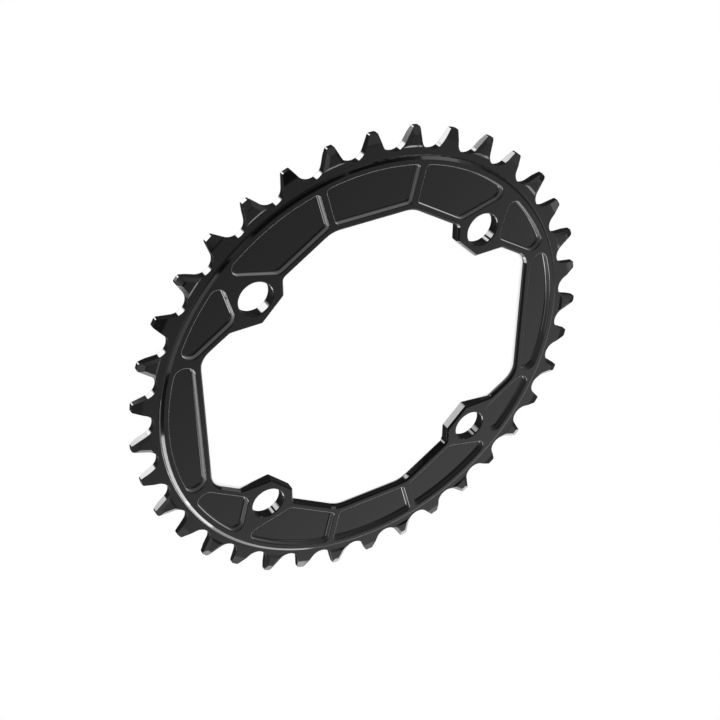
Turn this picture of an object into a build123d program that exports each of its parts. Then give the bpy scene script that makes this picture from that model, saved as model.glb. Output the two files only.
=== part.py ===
"""Bicycle chainring for a single chain line, with alternating narrow and wide teeth.

One aluminium plate, turned and milled from both sides. It lies on its back: Z = 0 is the back of the
web, +Z leaves the front face, and the Z axis is the crank's axis. Millimetres and degrees.
"""

import os
from math import acos, asin, atan, cos, degrees, dist, hypot, radians, sin, sqrt, tan

from build123d import *

# Chain and tooth gaps
chain_pitch = 12.7
tooth_count = 36
tooth_clocking = -0.25
seat_radius = 3.8
flank_angle = 20.5
tip_corner_radius = 0.6

# Plate, and the toothed band set back from both its faces: a shoulder and a cove lead down to it
plate_thickness = 3.1
band_front_recess = 0.85
band_back_recess = 0.3
band_width = 1.18
cove_radius = 0.43
shoulder_width = 0.85

# Narrow teeth, flush with the band
narrow_tip_height = 2.6
narrow_bevel_length = 2.95
narrow_bevel_drop = 0.55

# Wide teeth, each with a pad that rises from the band
wide_tip_height = 3.1
wide_rise = 0.48
wide_ramp_start = 0.9
wide_ramp_length = 0.7
wide_flank_run = 1.1
wide_bevel_length = 2.25
wide_bevel_drop = 0.7
wide_back_drop = 0.5
bevel_blend_radius = 2.5

# Bolt holes
bolt_count = 4
bolt_circle = 104.0
bolt_hole_radius = 5.15
bolt_hole_chamfer = 0.25

# Bolt lugs: sides and face measured from the bolt's axis, flank and shelf from the face to the lug's root
lug_side_distance = 8.55
lug_face_distance = 7.32
lug_flank_length = 5.4
lug_shelf_length = 9.77
lug_root_radius = 1.8
lug_corner_radius = 0.9

# Opening for the crank spider
opening_half_width = 53.83
opening_half_height = 50.14
opening_chamfer = 0.6
slant_angle = 32.4
top_corner_rounding = 0.624
side_corner_rounding = 0.557

# Relief at the back of the opening, wide at the long sides and none at the lugs
relief_side = 1.46
relief_top = 1.12
relief_upper_slant = 0.58
relief_lower_slant = 1.63
relief_lug_clearance = 0.3
relief_splay_angle = 8.0
relief_taper_angle = 40.0

# Pockets
pocket_depth = 2.0
pocket_margin = 2.1
rim_width = 1.55
rib_width = 2.25
boss_edge_distance = 7.2
boss_rib_width = 1.5
pocket_corner_radius = 1.2
pocket_floor_radius = 0.6
pocket_rim_radius = 0.35
rib_angle = 14.0
boss_edge_angle = 15.0
corner_rib_angle = 1.0
lower_setback_angle = 5.4
side_pocket_share = 0.665
boss_corner_rounding = 0.213
boss_end_rounding = 0.17
side_end_rounding = 0.54
lower_end_rounding = 0.55

# How far a cutting body reaches past the face that it cuts
overcut = 1.0

pitch_angle = 360 / tooth_count
gap_angle = pitch_angle / 2
pitch_radius = chain_pitch / 2 / sin(radians(gap_angle))
root_radius = pitch_radius - seat_radius
narrow_tip_radius = pitch_radius + narrow_tip_height
wide_tip_radius = pitch_radius + wide_tip_height
band_front = plate_thickness - band_front_recess
wide_front = band_front + wide_rise
ramp_radius = root_radius + wide_ramp_start
band_inner_radius = root_radius - band_width
shoulder_radius = band_inner_radius - cove_radius
web_radius = shoulder_radius - shoulder_width
pocket_radius = web_radius - rim_width
bolt_radius = bolt_circle / 2
bolt_offset = bolt_radius * cos(radians(45))
lug_side = bolt_offset - lug_side_distance
slant_normal_angle = 90 - slant_angle


def crossing(line_a, line_b):
    """Point where two lines cross, each given as its normal's angle and its distance from the axis."""
    (angle_a, a), (angle_b, b) = line_a, line_b
    turn = sin(radians(angle_b - angle_a))
    x = (a * sin(radians(angle_b)) - b * sin(radians(angle_a))) / turn
    y = (b * cos(radians(angle_a)) - a * cos(radians(angle_b))) / turn
    return x, y


def line_through(point, normal_angle):
    """Line through a point, as its normal's angle and its distance from the axis."""
    return normal_angle, point[0] * cos(radians(normal_angle)) + point[1] * sin(radians(normal_angle))


def on_pocket_arc(line, turn):
    """Point where a line meets the pockets' outer arc, turn = 1 or -1 choosing the end."""
    angle, distance = radians(line[0]), line[1]
    run = turn * sqrt(pocket_radius**2 - distance**2)
    return distance * cos(angle) - run * sin(angle), distance * sin(angle) + run * cos(angle)


def on_arc_between(start, end):
    """Point of the pockets' outer arc midway between two of its points."""
    x, y = start[0] + end[0], start[1] + end[1]
    return x * pocket_radius / hypot(x, y), y * pocket_radius / hypot(x, y)


def at_corner(shape, point):
    """The corners of a shape that lie at a point or at its mirror images in X and Y."""
    return [
        v
        for v in shape.vertices()
        if hypot(abs(v.X) - abs(point[0]), abs(v.Y) - abs(point[1])) < 1e-4
    ]


def edges_at(shape, height):
    """The edges of a shape that lie in the plane at a height."""
    return shape.edges().filter_by(
        lambda e: abs(e.bounding_box().min.Z - height) + abs(e.bounding_box().max.Z - height) < 1e-3
    )


# Opening outline, one quarter, each side a line given as its normal's angle and its distance
top = (90, opening_half_height)
lug_flank = (0, lug_side)
lug_face = (45, bolt_radius - lug_face_distance)
lug_shelf = (90, lug_side)
side = (0, opening_half_width)

lug_corner = crossing(lug_flank, lug_face)
shelf_corner = crossing(lug_face, lug_shelf)
lug_root = (lug_side, lug_corner[1] + lug_flank_length)
shelf_root = (shelf_corner[0] + lug_shelf_length, lug_side)
upper_slant = line_through(lug_root, slant_normal_angle)
lower_slant = line_through(shelf_root, slant_normal_angle)
top_corner = crossing(top, upper_slant)
side_corner = crossing(lower_slant, side)
top_corner_radius = top_corner_rounding * top_corner[0]
side_corner_radius = side_corner_rounding * dist(shelf_root, side_corner)

with BuildSketch() as opening:
    with BuildLine():
        Polyline(
            (0, 0),
            (0, opening_half_height),
            top_corner,
            lug_root,
            lug_corner,
            shelf_corner,
            shelf_root,
            side_corner,
            (opening_half_width, 0),
            close=True,
        )
    make_face()
    mirror(about=Plane.YZ)
    mirror(about=Plane.XZ)
    fillet(at_corner(opening, top_corner), top_corner_radius)
    fillet(at_corner(opening, side_corner), side_corner_radius)
    fillet(at_corner(opening, lug_root) + at_corner(opening, shelf_root), lug_root_radius)
    fillet(at_corner(opening, lug_corner) + at_corner(opening, shelf_corner), lug_corner_radius)

# Relief outline at the back: it keeps clear of the lugs, and splays away from their shelves
relief_top_line = (90, opening_half_height + relief_top)
relief_upper_line = (slant_normal_angle, upper_slant[1] + relief_upper_slant)
relief_flank_line = (0, lug_side - relief_lug_clearance)
relief_face_line = (45, bolt_radius - lug_face_distance - relief_lug_clearance)
relief_shelf_line = line_through(shelf_corner, 90 + relief_splay_angle)
relief_lower_line = (slant_normal_angle, lower_slant[1] + relief_lower_slant)
relief_side_line = (0, opening_half_width + relief_side)
relief_top_corner = crossing(relief_top_line, relief_upper_line)
relief_side_corner = crossing(relief_lower_line, relief_side_line)

with BuildSketch() as relief:
    with BuildLine():
        Polyline(
            (0, 0),
            (opening_half_width + relief_side, 0),
            relief_side_corner,
            crossing(relief_shelf_line, relief_lower_line),
            crossing(relief_face_line, relief_shelf_line),
            crossing(relief_flank_line, relief_face_line),
            crossing(relief_upper_line, relief_flank_line),
            relief_top_corner,
            (0, opening_half_height + relief_top),
            close=True,
        )
    make_face()
    mirror(about=Plane.YZ)
    mirror(about=Plane.XZ)
    fillet(at_corner(relief, relief_top_corner), top_corner_radius + relief_top)
    fillet(at_corner(relief, relief_side_corner), side_corner_radius + relief_side)

# Pocket outlines, one quarter: lines along the opening, the ribs and the bolt bosses, closed by an arc.
# The side and lower pockets end on radial lines, with a slim rib between them. The edges along a bolt
# boss close in behind it, and leave at least the width of a rib where they meet the outer arc
rib_offset = rib_width / 2
boss_gap = boss_rib_width / 2
boss_run = sqrt(pocket_radius**2 - boss_gap**2) - bolt_radius
boss_turn = asin(min(1, boss_edge_distance / hypot(boss_run, boss_gap))) - atan(boss_gap / boss_run)
boss_angle = max(boss_edge_angle, 45 - degrees(boss_turn))
boss_offset = bolt_radius * cos(radians(45 + boss_angle)) + boss_edge_distance
pocket_top = (90, opening_half_height + pocket_margin)
pocket_upper = (slant_normal_angle, upper_slant[1] + pocket_margin)
pocket_lower = (slant_normal_angle, lower_slant[1] + pocket_margin)
pocket_side = (0, opening_half_width + pocket_margin)
rib_near = (-rib_angle, -rib_offset)
rib_far = (-rib_angle, rib_offset)
boss_upper = (90 + boss_angle, boss_offset)
boss_lower = (-boss_angle, boss_offset)
side_end_angle = side_pocket_share * degrees(acos(pocket_side[1] / pocket_radius))
lower_tail_angle = slant_normal_angle - degrees(acos(pocket_lower[1] / pocket_radius))
lower_end_angle = max(side_end_angle + corner_rib_angle, lower_tail_angle + lower_setback_angle)
side_end = (side_end_angle + 90, 0)
lower_end = (lower_end_angle + 90, 0)

top_inner = crossing(pocket_top, rib_near)
top_outer = on_pocket_arc(rib_near, 1)
upper_inner = crossing(pocket_upper, rib_far)
upper_outer = on_pocket_arc(rib_far, 1)
upper_boss = on_pocket_arc(boss_upper, -1)
upper_root = crossing(boss_upper, pocket_upper)
lower_root = crossing(boss_lower, pocket_lower)
lower_boss = on_pocket_arc(boss_lower, 1)
lower_inner = crossing(pocket_lower, lower_end)
lower_outer = on_pocket_arc(lower_end, -1)
side_inner = crossing(pocket_side, side_end)
side_outer = on_pocket_arc(side_end, -1)
boss_edge_length = dist(lower_root, lower_boss)
boss_corner_radius = boss_corner_rounding * boss_edge_length
boss_end_radius = boss_end_rounding * boss_edge_length
lower_end_radius = lower_end_rounding * dist(lower_inner, lower_outer)
side_end_radius = side_end_rounding * dist(side_inner, side_outer)

with BuildSketch(Plane.XY.offset(plate_thickness)) as upper_pockets:
    with BuildLine():
        Polyline((0, pocket_radius), (0, pocket_top[1]), top_inner, top_outer)
        ThreePointArc(top_outer, on_arc_between(top_outer, (0, pocket_radius)), (0, pocket_radius))
    make_face()
    with BuildLine():
        Polyline(upper_boss, upper_root, upper_inner, upper_outer)
        ThreePointArc(upper_outer, on_arc_between(upper_outer, upper_boss), upper_boss)
    make_face()
    mirror(about=Plane.YZ)
    mirror(about=Plane.XZ)
    fillet(at_corner(upper_pockets, top_inner) + at_corner(upper_pockets, top_outer), pocket_corner_radius)
    fillet(at_corner(upper_pockets, upper_inner), pocket_corner_radius)
    fillet(at_corner(upper_pockets, upper_outer), pocket_corner_radius)
    fillet(at_corner(upper_pockets, upper_root), boss_corner_radius)
    fillet(at_corner(upper_pockets, upper_boss), boss_end_radius)

with BuildSketch(Plane.XY.offset(plate_thickness)) as lower_pockets:
    with BuildLine():
        Polyline(lower_boss, lower_root, lower_inner, lower_outer)
        ThreePointArc(lower_outer, on_arc_between(lower_outer, lower_boss), lower_boss)
    make_face()
    mirror(about=Plane.YZ)
    mirror(about=Plane.XZ)
    fillet(at_corner(lower_pockets, lower_root), boss_corner_radius)
    fillet(at_corner(lower_pockets, lower_boss), boss_end_radius)
    fillet(at_corner(lower_pockets, lower_inner) + at_corner(lower_pockets, lower_outer), lower_end_radius)

with BuildSketch(Plane.XY.offset(plate_thickness)) as side_pockets:
    with BuildLine():
        Polyline((pocket_radius, 0), (pocket_side[1], 0), side_inner, side_outer)
        ThreePointArc(side_outer, on_arc_between(side_outer, (pocket_radius, 0)), (pocket_radius, 0))
    make_face()
    mirror(about=Plane.YZ)
    mirror(about=Plane.XZ)
    fillet(at_corner(side_pockets, side_inner) + at_corner(side_pockets, side_outer), side_end_radius)

# Gap between two teeth, about +Y: a roller seat opening into straight flanks
seat_turn = radians(flank_angle + gap_angle)
seat_end_x = seat_radius * cos(seat_turn)
seat_end_y = pitch_radius - seat_radius * sin(seat_turn)
gap_top = wide_tip_radius + overcut
gap_half_top = seat_end_x + (gap_top - seat_end_y) * tan(seat_turn)

with BuildSketch() as gap:
    with BuildLine():
        ThreePointArc((-seat_end_x, seat_end_y), (0, root_radius), (seat_end_x, seat_end_y))
        Polyline(
            (seat_end_x, seat_end_y),
            (gap_half_top, gap_top),
            (-gap_half_top, gap_top),
            (-seat_end_x, seat_end_y),
        )
    make_face()

# What a narrow tooth's tip lacks against a wide one's, about +X
sector_half = gap_top * tan(radians(gap_angle))
with BuildSketch() as narrow_trim:
    with BuildLine():
        Polyline((0, 0), (gap_top, -sector_half), (gap_top, sector_half), close=True)
    make_face()
    Circle(narrow_tip_radius, mode=Mode.SUBTRACT)

# Plan of the teeth, the wide ones at even multiples of the pitch angle
with BuildSketch() as teeth:
    Circle(wide_tip_radius)
    with PolarLocations(0, tooth_count, start_angle=gap_angle + tooth_clocking - 90):
        add(gap.sketch, mode=Mode.SUBTRACT)
    with PolarLocations(0, tooth_count // 2, start_angle=pitch_angle + tooth_clocking):
        add(narrow_trim.sketch, mode=Mode.SUBTRACT)
    fillet(
        teeth.vertices().filter_by(lambda v: hypot(v.X, v.Y) > narrow_tip_radius - 1e-4),
        tip_corner_radius,
    )

# Start of the sector of a tooth that points along +X, for profiles that are turned through one pitch angle
gap_turn = radians(gap_angle)
sector_start = Plane(
    (0, 0, 0),
    x_dir=(cos(gap_turn), -sin(gap_turn), 0),
    z_dir=(-sin(gap_turn), -cos(gap_turn), 0),
)

# What is milled off the front of a narrow tooth
with BuildPart() as narrow_cut:
    with BuildSketch(sector_start) as narrow_profile:
        with BuildLine():
            bevel_slope = narrow_bevel_drop / narrow_bevel_length
            Polyline(
                (ramp_radius, wide_front + overcut),
                (ramp_radius, band_front),
                (narrow_tip_radius - narrow_bevel_length, band_front),
                (gap_top, band_front - bevel_slope * (gap_top - narrow_tip_radius + narrow_bevel_length)),
                (gap_top, wide_front + overcut),
                close=True,
            )
        make_face()
        narrow_bevel_start = (narrow_tip_radius - narrow_bevel_length, band_front)
        fillet(narrow_profile.vertices().sort_by_distance(narrow_bevel_start)[0], bevel_blend_radius)
    revolve(axis=Axis.Z, revolution_arc=pitch_angle)

# What is milled off a wide tooth: the pad's slopes along both flanks, and the back of the tip
flank_x = seat_end_y * cos(gap_turn) + seat_end_x * sin(gap_turn)
flank_y = seat_end_y * sin(gap_turn) - seat_end_x * cos(gap_turn)
slope_x = ramp_radius - overcut
slope_y = flank_y + (flank_x - slope_x) * tan(radians(flank_angle))
flank_direction = (cos(radians(flank_angle)), -sin(radians(flank_angle)), 0)
flank_outward = (sin(radians(flank_angle)), cos(radians(flank_angle)), 0)
back_slope = wide_back_drop / wide_bevel_length

with BuildPart() as wide_cut:
    with BuildSketch(Plane((slope_x, slope_y, band_front), x_dir=flank_outward, z_dir=flank_direction)):
        with BuildLine():
            Polyline(
                (0, 0),
                (overcut, 0),
                (overcut, 2 * wide_rise),
                (-2 * wide_flank_run, 2 * wide_rise),
                close=True,
            )
        make_face()
    extrude(amount=gap_top - slope_x)
    mirror(about=Plane.XZ)
    with BuildSketch(sector_start):
        with BuildLine():
            Polyline(
                (wide_tip_radius - wide_bevel_length, band_back_recess),
                (gap_top, band_back_recess + back_slope * (gap_top - wide_tip_radius + wide_bevel_length)),
                (gap_top, band_back_recess),
                close=True,
            )
        make_face()
    revolve(axis=Axis.Z, revolution_arc=pitch_angle)

with BuildPart() as chainring:
    # Turned blank: web, shoulder, cove, tooth band, and the ramp, crown and bevel that the wide teeth keep
    with BuildSketch(Plane.XZ) as blank_profile:
        with BuildLine():
            Line((web_radius, plate_thickness), (shoulder_radius, band_front + cove_radius))
            cove_middle = cove_radius * (1 - sin(radians(45)))
            ThreePointArc(
                (shoulder_radius, band_front + cove_radius),
                (shoulder_radius + cove_middle, band_front + cove_middle),
                (band_inner_radius, band_front),
            )
            Polyline(
                (band_inner_radius, band_front),
                (ramp_radius, band_front),
                (ramp_radius + wide_ramp_length, wide_front),
                (wide_tip_radius - wide_bevel_length, wide_front),
                (wide_tip_radius, wide_front - wide_bevel_drop),
                (wide_tip_radius, band_back_recess),
                (band_inner_radius, band_back_recess),
                (band_inner_radius, 0),
                (0, 0),
                (0, plate_thickness),
                (web_radius, plate_thickness),
            )
        make_face()
        wide_bevel_start = (wide_tip_radius - wide_bevel_length, wide_front)
        fillet(blank_profile.vertices().sort_by_distance(wide_bevel_start)[0], bevel_blend_radius)
    revolve(axis=Axis.Z)

    # Pockets, with rounded floors and rims
    extrude(upper_pockets.sketch, amount=-pocket_depth, mode=Mode.SUBTRACT)
    extrude(lower_pockets.sketch, amount=-pocket_depth, mode=Mode.SUBTRACT)
    extrude(side_pockets.sketch, amount=-pocket_depth, mode=Mode.SUBTRACT)
    fillet(edges_at(chainring, plate_thickness - pocket_depth), pocket_floor_radius)
    circles = chainring.edges().filter_by(GeomType.CIRCLE)
    web_edge = circles.filter_by(lambda e: abs(e.radius - web_radius) < 1e-4)
    fillet(edges_at(chainring, plate_thickness) - web_edge, pocket_rim_radius)

    # Teeth, in turn wide and narrow
    extrude(teeth.sketch, amount=plate_thickness, mode=Mode.INTERSECT)
    with PolarLocations(0, tooth_count // 2, start_angle=pitch_angle + tooth_clocking):
        add(narrow_cut.part, mode=Mode.SUBTRACT)
    with PolarLocations(0, tooth_count // 2, start_angle=tooth_clocking):
        add(wide_cut.part, mode=Mode.SUBTRACT)

    # Opening, chamfered in front and relieved behind
    extrude(opening.sketch, amount=plate_thickness, mode=Mode.SUBTRACT)
    chamfer(chainring.edges(Select.LAST).group_by(Axis.Z)[-1], opening_chamfer)
    extrude(relief.sketch, amount=plate_thickness, taper=relief_taper_angle, mode=Mode.SUBTRACT)

    # Bolt holes
    with Locations((0, 0, plate_thickness)):
        with PolarLocations(bolt_radius, bolt_count, start_angle=180 / bolt_count):
            Hole(bolt_hole_radius, depth=plate_thickness)
    chamfer(chainring.edges(Select.LAST).group_by(Axis.Z)[-1], bolt_hole_chamfer)

chainring.part.label = "chainring"
os.makedirs("parts", exist_ok=True)
export_step(chainring.part, "parts/chainring.step")
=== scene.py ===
"""Looks of a black anodised bicycle chainring, lying on its back on a pale studio floor.

Metres, in the part's own frame: the ring's axis is +Z, and its front face looks up. Azimuths and
elevations are in degrees, with azimuth 0 at +X and 90 at +Y. The photograph's ring mirrors its
surroundings but hardly itself, so the room, the soft boxes and the cards make up what it shows.
"""

import math

import bpy
from mathutils import Matrix, Vector

MM = 0.001
WHITE = (1, 1, 1, 1)

# Ramps, here and below, are written as the range that they read and the values that they give at its ends

# Finish: each noise is its features per metre and its detail
ANODISED_COLOUR = (0.0016, 0.0016, 0.0017)
# Paler colour at the edges: partly wear, partly a painted highlight along the rounded edges
ANODISED_WORN_AND_SHEEN = (0.0045, 0.0045, 0.0047)
ANODISED_IOR = 1.5
TURNING_MARKS = (1.2 / MM, 3.0)
BLASTED_GRAIN = (3.2 / MM, 2.0)
CLOUDS = (0.12 / MM, 3.0)
CLOUD_ROUGHNESS = (0.3, 0.7), (0.045, 0.07)
GRAIN_SHARE = 0.5
RELIEF_STRENGTH = 0.05
RELIEF_HEIGHT = 0.02 * MM
EDGE_RADIUS = 0.12 * MM
EDGE_SAMPLES = 6
EDGE_WEAR_AND_SHEEN = (0.985, 0.80), (0.0, 1.0)

# Floor, which curves up at its rim, and the share of its white that is its own glow
FLOOR_COLOUR = (0.95, 0.95, 0.95)
FLOOR_GLOW = 0.8
FLOOR_GAP = 0.02 * MM
FLOOR_RADIUS = 2.6
SWEEP_RADIUS = 0.6
SWEEP_STEPS = 8
SWEEP_SIDES = 96

# Room around the floor: its ramps read a unit heading's height, or the part of it along a direction
PANEL_AZIMUTH = -50
PANEL_SIDE = (0.10, 0.32), (0.0, 1.0)
PANEL_TOP = (0.48, 0.945), (1.1, 0.05)
PANEL_LEAN = (-0.375, 0, 1)
PANEL_FOOT = (0.18, 0.34), (0.22, 1.1)
FAR_AZIMUTH = 120
FAR_HORIZON = (0.6, 0.85), (0.8, 0.15)
CEILING = (0.6, 0.9), (0.2, 0.03)
CEILING_BLEND = (0.22, 0.42), (0.0, 1.0)
UNDERSIDE_RADIANCE = 0.4
UNDERSIDE_FADE = (-0.62, -0.36), (0.2, 1.0)
HORIZON_BLEND = (-0.03, 0.03), (0.0, 1.0)

# Glow from below, with a dark post across its upper half: its ramps read azimuths and elevations
UNDER_RADIANCE = 16.5
UNDER_RISE = (88, 100), (0.0, 1.0)
UNDER_FALL = (144, 166), (1.0, 0.0)
UNDER_TOP = (-39, -36), (1.0, 0.0)
UNDER_SLOPE = (-50, -38), (1.0, 0.6)
UNDER_BOTTOM = (-66, -58), (0.0, 1.0)
POST_AZIMUTH = 117.5
POST_EDGE = (5, 9.5), (1.0, 0.0)
POST_FOOT = (-49, -45), (0.0, 1.0)

# Soft boxes, seen only as reflections: azimuth, elevation, width and height in degrees, and radiance
LAMP_DISTANCE = 3.0
SOFT_BOXES = {
    "overhead_box": (-55, 90, 28, 28, 0.45),
    "west_box": (-150, 66, 36, 24, 1.1),
    "west_low_box": (-146, 0, 26, 32, 2.6),
    "south_west_box": (-118, 22.5, 20, 37, 10.0),
    "south_west_low_box": (-104, 18, 10, 12, 7.0),
    "south_box": (-92, 10.5, 32, 27, 2.6),
    "low_front_box": (-67, 14, 18, 20, 1.0),
    "horizon_strip": (-60, 3.5, 28, 15, 3.0),
    "front_strip": (-24, 28, 14, 12, 0.9),
    "east_box": (20, 34, 12, 22, 1.4),
    "east_upper_box": (0, 61, 28, 16, 0.5),
    "north_east_box": (32, 67, 16, 12, 0.8),
}

# Glowing grey cards under the web, notched at the bolt holes: painted shade that stands in for the web's
# own shadow in the ring's reflections, and keeps the glow from below out of the pockets
NOTCHED_CARD_RADII = (50.5 * MM, 58.5 * MM)
CLOSED_CARD_RADII = (58.5 * MM, 66.5 * MM)
CARD_HEIGHT = -1.0 * MM
CARD_STEPS = 24
CARD_AZIMUTH = 125
CARD_FADE = 50 * MM
CARD_GLOW = (0.35, 1.25)
HOLE_COUNT = 4
FIRST_HOLE = math.radians(45)
HOLE_CLEARANCE = math.radians(6)

# Dark card inside the band: painted shade that stands in for the band's own shadow in the cove's
# reflections, and keeps the same glow out of the cove above it
COVE_CARD_RADII = (67.3 * MM, 69.0 * MM)
COVE_CARD_HEIGHT = 1.5 * MM
COVE_CARD_START = math.radians(25)
COVE_CARD_SWEEP = math.radians(200)
COVE_CARD_GLOW = (0.3, 0.3)

# Key lamp, the only light on matt surfaces: azimuth and elevation, width and strength
KEY_DIRECTION = (125, 56)
KEY_WIDTH = math.radians(16)
KEY_ENERGY = 3.97

# Camera, fitted to the photograph
SENSOR_WIDTH = 36.0
CAMERA_LENS = 60.1765
CAMERA_CLIP = 0.01
CAMERA_PLACE = (-0.148166, 0.212574, 0.249538)
CAMERA_RIGHT = (0.863872799, 0.0000097, 0.503710023)
CAMERA_UP = (0.296540239, 0.808332905, -0.508588048)
CAMERA_BACK = (-0.407170326, 0.588725671, 0.698293928)
PHOTO_WIDTH = 720
HALF_PIXEL = 0.5 / PHOTO_WIDTH


def direction(azimuth, elevation=0):
    """Unit vector towards an azimuth and an elevation."""
    turn, rise = math.radians(azimuth), math.radians(elevation)
    return Vector((math.cos(rise) * math.cos(turn), math.cos(rise) * math.sin(turn), math.sin(rise)))


def on_circle(radius, turn, height):
    """Point at a radius and a turn in radians about the ring's axis."""
    return radius * math.cos(turn), radius * math.sin(turn), height


def add_object(name, data):
    """Object linked to the scene."""
    made = bpy.data.objects.new(name, data)
    bpy.context.scene.collection.objects.link(made)
    return made


def new_tree(owner):
    """Empty node tree of a material or a world."""
    owner.use_nodes = True
    owner.node_tree.nodes.clear()
    return owner.node_tree


def add_node(tree, kind, inputs=None, **properties):
    """Node with its properties set, and its inputs set or linked from another node's output."""
    made = tree.nodes.new(kind)
    for name, value in properties.items():
        setattr(made, name, value)
    for name, value in (inputs or {}).items():
        if isinstance(value, bpy.types.NodeSocket):
            tree.links.new(value, made.inputs[name])
        else:
            made.inputs[name].default_value = value
    return made


def math_node(tree, operation, *values):
    """Output of a Math node."""
    return add_node(tree, "ShaderNodeMath", dict(enumerate(values)), operation=operation).outputs[0]


def vector_node(tree, operation, *values):
    """Outputs of a Vector Math node."""
    return add_node(tree, "ShaderNodeVectorMath", dict(enumerate(values)), operation=operation).outputs


def dot_product(tree, first, second):
    """Output of a Vector Math node's dot product."""
    return vector_node(tree, "DOT_PRODUCT", first, second)["Value"]


def mix(tree, factor, first, second):
    """Output of a Mix node for numbers."""
    return add_node(tree, "ShaderNodeMix", {"Factor": factor, "A": first, "B": second}).outputs["Result"]


def mix_colours(tree, factor, first, second):
    """Output of a Mix node for colours, whose sockets are told apart by their places alone."""
    inputs = {0: factor, 6: (*first, 1), 7: (*second, 1)}
    return add_node(tree, "ShaderNodeMix", inputs, data_type="RGBA").outputs[2]


def ramp(tree, value, source, target, interpolation="LINEAR"):
    """Output of a clamped Map Range node, from the source range to the target range."""
    inputs = {
        "Value": value,
        "From Min": source[0],
        "From Max": source[1],
        "To Min": target[0],
        "To Max": target[1],
    }
    return add_node(tree, "ShaderNodeMapRange", inputs, interpolation_type=interpolation).outputs[0]


def elevation_ramp(tree, height, elevations, target):
    """Ramp between two elevations, linear in the height that is their sine."""
    return ramp(tree, height, [direction(0, elevation).z for elevation in elevations], target)


def noise(tree, vector, scale, detail):
    """Output of a noise texture, its scale in features per metre."""
    inputs = {"Vector": vector, "Scale": scale, "Detail": detail}
    return add_node(tree, "ShaderNodeTexNoise", inputs).outputs["Fac"]


def anodised_finish():
    """Dyed anodising on a blasted and turned surface: fine grain, faint turning marks, and paler edges
    that are partly wear and partly a painted edge highlight.
    """
    material = bpy.data.materials.new("anodised_black")
    tree = new_tree(material)
    place = add_node(tree, "ShaderNodeTexCoord").outputs["Object"]
    in_plane = vector_node(tree, "MULTIPLY", place, (1, 1, 0))["Vector"]
    radius = vector_node(tree, "LENGTH", in_plane)["Value"]
    along_radius = add_node(tree, "ShaderNodeCombineXYZ", {"X": radius}).outputs[0]
    marks = noise(tree, along_radius, *TURNING_MARKS)
    grain = noise(tree, place, *BLASTED_GRAIN)
    clouds = noise(tree, place, *CLOUDS)

    # Edge mask from the rounded normal: it lightens the base colour at the edges, partly wear and partly
    # a painted highlight
    bevel = add_node(tree, "ShaderNodeBevel", {"Radius": EDGE_RADIUS}, samples=EDGE_SAMPLES)
    rounded = bevel.outputs["Normal"]
    facing = add_node(tree, "ShaderNodeNewGeometry").outputs["Normal"]
    wear_and_sheen = ramp(tree, dot_product(tree, rounded, facing), *EDGE_WEAR_AND_SHEEN)

    relief_inputs = {
        "Height": mix(tree, GRAIN_SHARE, marks, grain),
        "Normal": rounded,
        "Strength": RELIEF_STRENGTH,
        "Distance": RELIEF_HEIGHT,
    }
    relief = add_node(tree, "ShaderNodeBump", relief_inputs)
    shader_inputs = {
        "Base Color": mix_colours(tree, wear_and_sheen, ANODISED_COLOUR, ANODISED_WORN_AND_SHEEN),
        "Roughness": ramp(tree, clouds, *CLOUD_ROUGHNESS),
        "IOR": ANODISED_IOR,
        "Metallic": 0.0,
        "Normal": relief.outputs["Normal"],
    }
    shader = add_node(tree, "ShaderNodeBsdfPrincipled", shader_inputs)
    add_node(tree, "ShaderNodeOutputMaterial", {"Surface": shader.outputs[0]})
    return material


def floor_finish():
    """White backlit paper: it shows white by itself, and keeps a pale shadow."""
    material = bpy.data.materials.new("floor_paper")
    tree = new_tree(material)
    seen = add_node(tree, "ShaderNodeLightPath").outputs["Is Camera Ray"]
    glow = add_node(tree, "ShaderNodeEmission", {"Color": WHITE, "Strength": seen}).outputs[0]
    paper = add_node(tree, "ShaderNodeBsdfDiffuse", {"Color": (*FLOOR_COLOUR, 1)}).outputs[0]
    shader = add_node(tree, "ShaderNodeMixShader", {0: FLOOR_GLOW, 1: paper, 2: glow})
    add_node(tree, "ShaderNodeOutputMaterial", {"Surface": shader.outputs[0]})
    return material


def shade_card_material(name, levels):
    """Glowing card, with its radiance far from the card's azimuth and towards it: a sheet of painted
    shade and glow seen in the ring's reflections.
    """
    material = bpy.data.materials.new(name)
    tree = new_tree(material)
    place = add_node(tree, "ShaderNodeTexCoord").outputs["Object"]
    along = dot_product(tree, place, direction(CARD_AZIMUTH))
    glow = ramp(tree, along, (-CARD_FADE, CARD_FADE), levels)
    shader = add_node(tree, "ShaderNodeEmission", {"Color": WHITE, "Strength": glow})
    add_node(tree, "ShaderNodeOutputMaterial", {"Surface": shader.outputs[0]})
    return material


def sweep_mesh():
    """Round floor whose rim curves up into a low wall."""
    profile = [(FLOOR_RADIUS, 0.0)]
    for step in range(1, SWEEP_STEPS + 1):
        turn = math.pi / 2 * step / SWEEP_STEPS
        rise = SWEEP_RADIUS * (1 - math.cos(turn))
        profile.append((FLOOR_RADIUS + SWEEP_RADIUS * math.sin(turn), rise))
    profile.append((FLOOR_RADIUS + SWEEP_RADIUS, 2 * SWEEP_RADIUS))
    turns = [2 * math.pi * side / SWEEP_SIDES for side in range(SWEEP_SIDES)]
    points = [on_circle(radius, turn, rise - FLOOR_GAP) for radius, rise in profile for turn in turns]
    faces = [tuple(range(SWEEP_SIDES))]
    for first in range(0, len(points) - SWEEP_SIDES, SWEEP_SIDES):
        for side in range(SWEEP_SIDES):
            low, low_after = first + side, first + (side + 1) % SWEEP_SIDES
            faces.append((low, low + SWEEP_SIDES, low_after + SWEEP_SIDES, low_after))
    mesh = bpy.data.meshes.new("floor")
    mesh.from_pydata(points, [], faces)
    mesh.shade_smooth()
    return mesh


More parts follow.
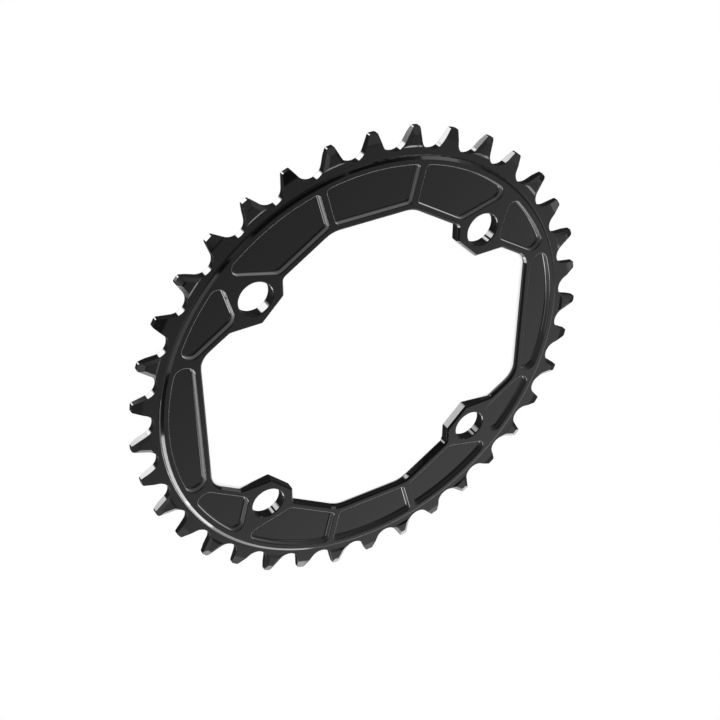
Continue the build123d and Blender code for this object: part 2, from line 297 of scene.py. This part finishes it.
def web_card_arcs():
    """Arcs of the cards under the web: the start, sweep, radii and height of each."""
    spacing = 2 * math.pi / HOLE_COUNT
    for hole in range(HOLE_COUNT):
        turn = FIRST_HOLE + hole * spacing
        yield turn + HOLE_CLEARANCE, spacing - 2 * HOLE_CLEARANCE, NOTCHED_CARD_RADII, CARD_HEIGHT
        yield turn, spacing, CLOSED_CARD_RADII, CARD_HEIGHT


def arc_mesh(name, arcs):
    """Flat arcs, each with its start, sweep, radii and height."""
    points, faces = [], []
    for start, sweep, radii, height in arcs:
        first = len(points)
        for step in range(CARD_STEPS + 1):
            turn = start + sweep * step / CARD_STEPS
            points += [on_circle(radius, turn, height) for radius in radii]
        for corner in range(first, len(points) - 2, 2):
            faces.append((corner, corner + 1, corner + 3, corner + 2))
    mesh = bpy.data.meshes.new(name)
    mesh.from_pydata(points, [], faces)
    return mesh


def room_light(tree, heading, height):
    """Radiance of the room: a pale panel on one side, a dimmer far side and a dark ceiling."""
    panel_top = ramp(tree, height, *PANEL_TOP)
    panel_foot = ramp(tree, dot_product(tree, heading, PANEL_LEAN), *PANEL_FOOT)
    panel = math_node(tree, "MINIMUM", panel_top, panel_foot)
    towards_panel = dot_product(tree, heading, direction(PANEL_AZIMUTH))
    on_panel = ramp(tree, towards_panel, *PANEL_SIDE, "SMOOTHSTEP")
    horizon = ramp(tree, dot_product(tree, heading, direction(FAR_AZIMUTH)), *FAR_HORIZON)
    far_side = mix(tree, ramp(tree, height, *CEILING_BLEND), horizon, ramp(tree, height, *CEILING))
    above = mix(tree, on_panel, far_side, panel)
    underside = mix(tree, on_panel, horizon, UNDERSIDE_RADIANCE)
    below = math_node(tree, "MULTIPLY", underside, ramp(tree, height, *UNDERSIDE_FADE))
    return mix(tree, ramp(tree, height, *HORIZON_BLEND), below, above)


def under_glow(tree, azimuth, height):
    """Radiance of the glow from below."""
    off_post = math_node(tree, "ABSOLUTE", math_node(tree, "SUBTRACT", azimuth, POST_AZIMUTH))
    post_side = ramp(tree, off_post, *POST_EDGE, "SMOOTHSTEP")
    post = math_node(tree, "MULTIPLY", post_side, elevation_ramp(tree, height, *POST_FOOT))
    shares = (
        math_node(tree, "SUBTRACT", 1.0, post),
        ramp(tree, azimuth, *UNDER_RISE, "SMOOTHSTEP"),
        ramp(tree, azimuth, *UNDER_FALL, "SMOOTHSTEP"),
        elevation_ramp(tree, height, *UNDER_TOP),
        elevation_ramp(tree, height, *UNDER_SLOPE),
        elevation_ramp(tree, height, *UNDER_BOTTOM),
    )
    glow = UNDER_RADIANCE
    for share in shares:
        glow = math_node(tree, "MULTIPLY", glow, share)
    return glow


def studio_world():
    """Room around the floor, with the glow from below."""
    world = bpy.data.worlds.new("studio")
    tree = new_tree(world)
    heading = add_node(tree, "ShaderNodeTexCoord").outputs["Generated"]
    axes = add_node(tree, "ShaderNodeSeparateXYZ", {"Vector": heading}).outputs
    azimuth = math_node(tree, "DEGREES", math_node(tree, "ARCTAN2", axes["Y"], axes["X"]))
    room = room_light(tree, heading, axes["Z"])
    radiance = math_node(tree, "ADD", room, under_glow(tree, azimuth, axes["Z"]))
    background = add_node(tree, "ShaderNodeBackground", {"Color": WHITE, "Strength": radiance})
    add_node(tree, "ShaderNodeOutputWorld", {"Surface": background.outputs[0]})
    return world


def aim(lamp_object, towards):
    """Turns a lamp that stands in a direction to face the ring."""
    lamp_object.rotation_euler = towards.to_track_quat("Z", "Y").to_euler()


def add_soft_box(name, azimuth, elevation, width, height, radiance):
    """Rectangular lamp that faces the ring and shows only as a reflection."""
    lamp = bpy.data.lights.new(name, "AREA")
    lamp.shape = "RECTANGLE"
    lamp.size = 2 * LAMP_DISTANCE * math.tan(math.radians(width / 2))
    lamp.size_y = 2 * LAMP_DISTANCE * math.tan(math.radians(height / 2))
    lamp.energy = radiance * math.pi * lamp.size * lamp.size_y
    made = add_object(name, lamp)
    towards = direction(azimuth, elevation)
    made.location = LAMP_DISTANCE * towards
    aim(made, towards)
    made.visible_diffuse = False
    made.visible_camera = False


def add_key():
    """Sun-like lamp that lights the floor and casts the ring's shadow, and isn't mirrored."""
    lamp = bpy.data.lights.new("key", "SUN")
    lamp.energy = KEY_ENERGY
    lamp.angle = KEY_WIDTH
    made = add_object("key", lamp)
    aim(made, direction(*KEY_DIRECTION))
    made.visible_glossy = False


def add_camera():
    """Camera at the photograph's viewing angle."""
    camera = bpy.data.cameras.new("camera")
    camera.sensor_width = SENSOR_WIDTH
    camera.lens = CAMERA_LENS
    camera.shift_x = -HALF_PIXEL
    camera.shift_y = HALF_PIXEL
    camera.clip_start = CAMERA_CLIP
    made = add_object("camera", camera)
    turn = Matrix((CAMERA_RIGHT, CAMERA_UP, CAMERA_BACK)).transposed()
    made.matrix_world = Matrix.Translation(CAMERA_PLACE) @ turn.to_4x4()
    return made


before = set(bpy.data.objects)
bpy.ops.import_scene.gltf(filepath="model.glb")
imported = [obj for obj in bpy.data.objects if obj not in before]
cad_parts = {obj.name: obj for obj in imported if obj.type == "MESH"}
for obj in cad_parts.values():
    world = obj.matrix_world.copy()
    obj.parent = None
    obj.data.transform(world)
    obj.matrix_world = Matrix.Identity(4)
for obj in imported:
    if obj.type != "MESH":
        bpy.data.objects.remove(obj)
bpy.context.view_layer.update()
scene = bpy.context.scene
scene.view_settings.view_transform = "Standard"

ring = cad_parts["chainring"]
ring.data.materials.clear()
ring.data.materials.append(anodised_finish())
ring.visible_glossy = False

floor = add_object("floor", sweep_mesh())
floor.data.materials.append(floor_finish())
floor.visible_glossy = False
floor.visible_shadow = False

# Painted shade: cards that stand in for the web's own shadow in its reflections
cards = add_object("cards", arc_mesh("cards", web_card_arcs()))
cards.data.materials.append(shade_card_material("shade_card_glow", CARD_GLOW))

cove_arc = (COVE_CARD_START, COVE_CARD_SWEEP, COVE_CARD_RADII, COVE_CARD_HEIGHT)
# Painted shade: a dark sheet in place of the band's own shadow in the cove's reflections
cove_shade_card = add_object("cove_shade_card", arc_mesh("cove_shade_card", [cove_arc]))
cove_shade_card.data.materials.append(shade_card_material("shade_card_dark", COVE_CARD_GLOW))

scene.world = studio_world()
scene.world.cycles_visibility.diffuse = False
for box_name, box_values in SOFT_BOXES.items():
    add_soft_box(box_name, *box_values)
add_key()
scene.camera = add_camera()
